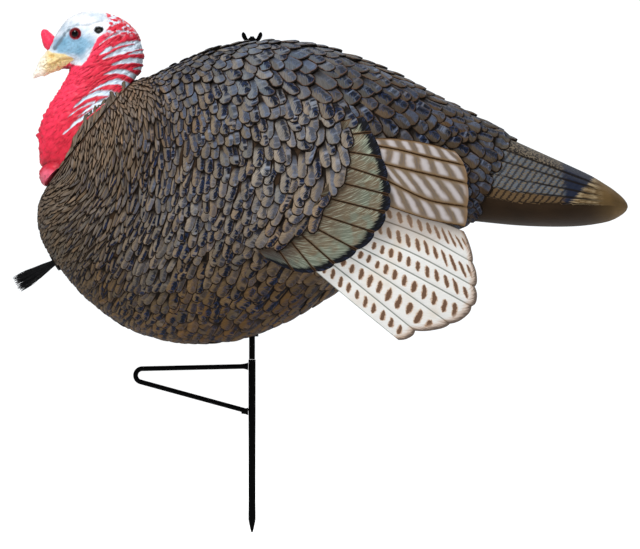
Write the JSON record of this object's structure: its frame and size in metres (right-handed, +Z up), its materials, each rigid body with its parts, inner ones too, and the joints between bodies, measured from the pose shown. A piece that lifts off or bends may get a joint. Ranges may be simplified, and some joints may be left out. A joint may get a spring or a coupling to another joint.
{
  "type": "turkey decoy",
  "caption": "Life-size hollow turkey decoy with moulded feathers, a plug-in head, a hanging beard and a steel ground stake with a foot step, held by a wing nut.",
  "frame": {"origin": "centre of the small flat at the lower end of the stake's spike, on the stake's axis", "axes": "+Z up along the stake, -X towards the bird's head, +X towards its tail, -Y towards its left flank"},
  "size_m": [0.8196, 0.2822, 0.697],
  "materials": {
    "body_feather": "moulded feather relief, brown paint with darker grooves and blue-grey shafts",
    "tail_feather": "barred grey-brown paint, dark blue band and tan tip",
    "cover_feather": "brown and grey-green paint with a black rim",
    "buff_feather": "buff paint with pale slanted bars",
    "white_feather": "off-white paint with short brown bars",
    "skin_red": "red, pale blue and white paint, satin",
    "eye_glass": "glossy black pupil with a dark red ring",
    "inner_plastic": "plain black moulding",
    "bristle": "black synthetic bristles",
    "coated_steel": "black oxide, slightly glossy",
    "zinc": "zinc plate"
  },
  "bodies": {
    "stake": {"ground_spike": "coated_steel", "stake_rod": "coated_steel", "foot_step": "coated_steel", "shoulder_washer": "zinc"},
    "decoy_body": {"body_shell": "body_feather", "tail": "tail_feather", "left_wing_cover": "cover_feather", "right_wing_cover": "cover_feather", "left_secondaries": "buff_feather", "right_secondaries": "buff_feather", "left_primaries": "white_feather", "right_primaries": "white_feather", "neck_socket": "inner_plastic", "beard_grommet": "inner_plastic", "back_bush": "inner_plastic", "belly_bush": "inner_plastic"},
    "plug": {"neck_plug": "inner_plastic"},
    "head_and_neck": {"head": "skin_red", "snood": "skin_red", "left_eye": "eye_glass", "right_eye": "eye_glass"},
    "beard": {"beard_bristles": "bristle", "beard_ferrule": "zinc"},
    "washer_lift": {"nut_washer": "zinc"},
    "nut": {"wing_nut": "coated_steel"}
  },
  "joints": [
    {"name": "body_swivel", "type": "hinge", "parent": "stake", "child": "decoy_body", "pos_m": [0, 0, 0.45], "axis": [0, 0, 1], "continuous": true},
    {"name": "head_pull", "type": "slide", "parent": "decoy_body", "child": "plug", "axis": [-0.7754, 0, 0.6314], "range_m": [0, 0.068]},
    {"name": "head_turn", "type": "hinge", "parent": "plug", "child": "head_and_neck", "pos_m": [-0.215, 0, 0.534], "axis": [-0.7754, 0, 0.6314], "range_deg": [-25, 25]},
    {"name": "beard_swing", "type": "hinge", "parent": "decoy_body", "child": "beard", "pos_m": [-0.26, 0, 0.364], "axis": [0, 1, 0], "range_deg": [-12, 12], "stiffness_Nm_per_rad": 0.02},
    {"name": "nut_lift", "type": "slide", "parent": "stake", "child": "washer_lift", "axis": [0, 0, 1], "range_m": [0, 0.01015]},
    {"name": "nut_turn", "type": "hinge", "parent": "washer_lift", "child": "nut", "pos_m": [0, 0, 0.65], "axis": [0, 0, 1], "range_deg": [0, 2880]}
  ],
  "couplings": [
    {"joint": "nut_turn", "follows": "nut_lift", "rad_per_m": 4947.4}
  ]
}
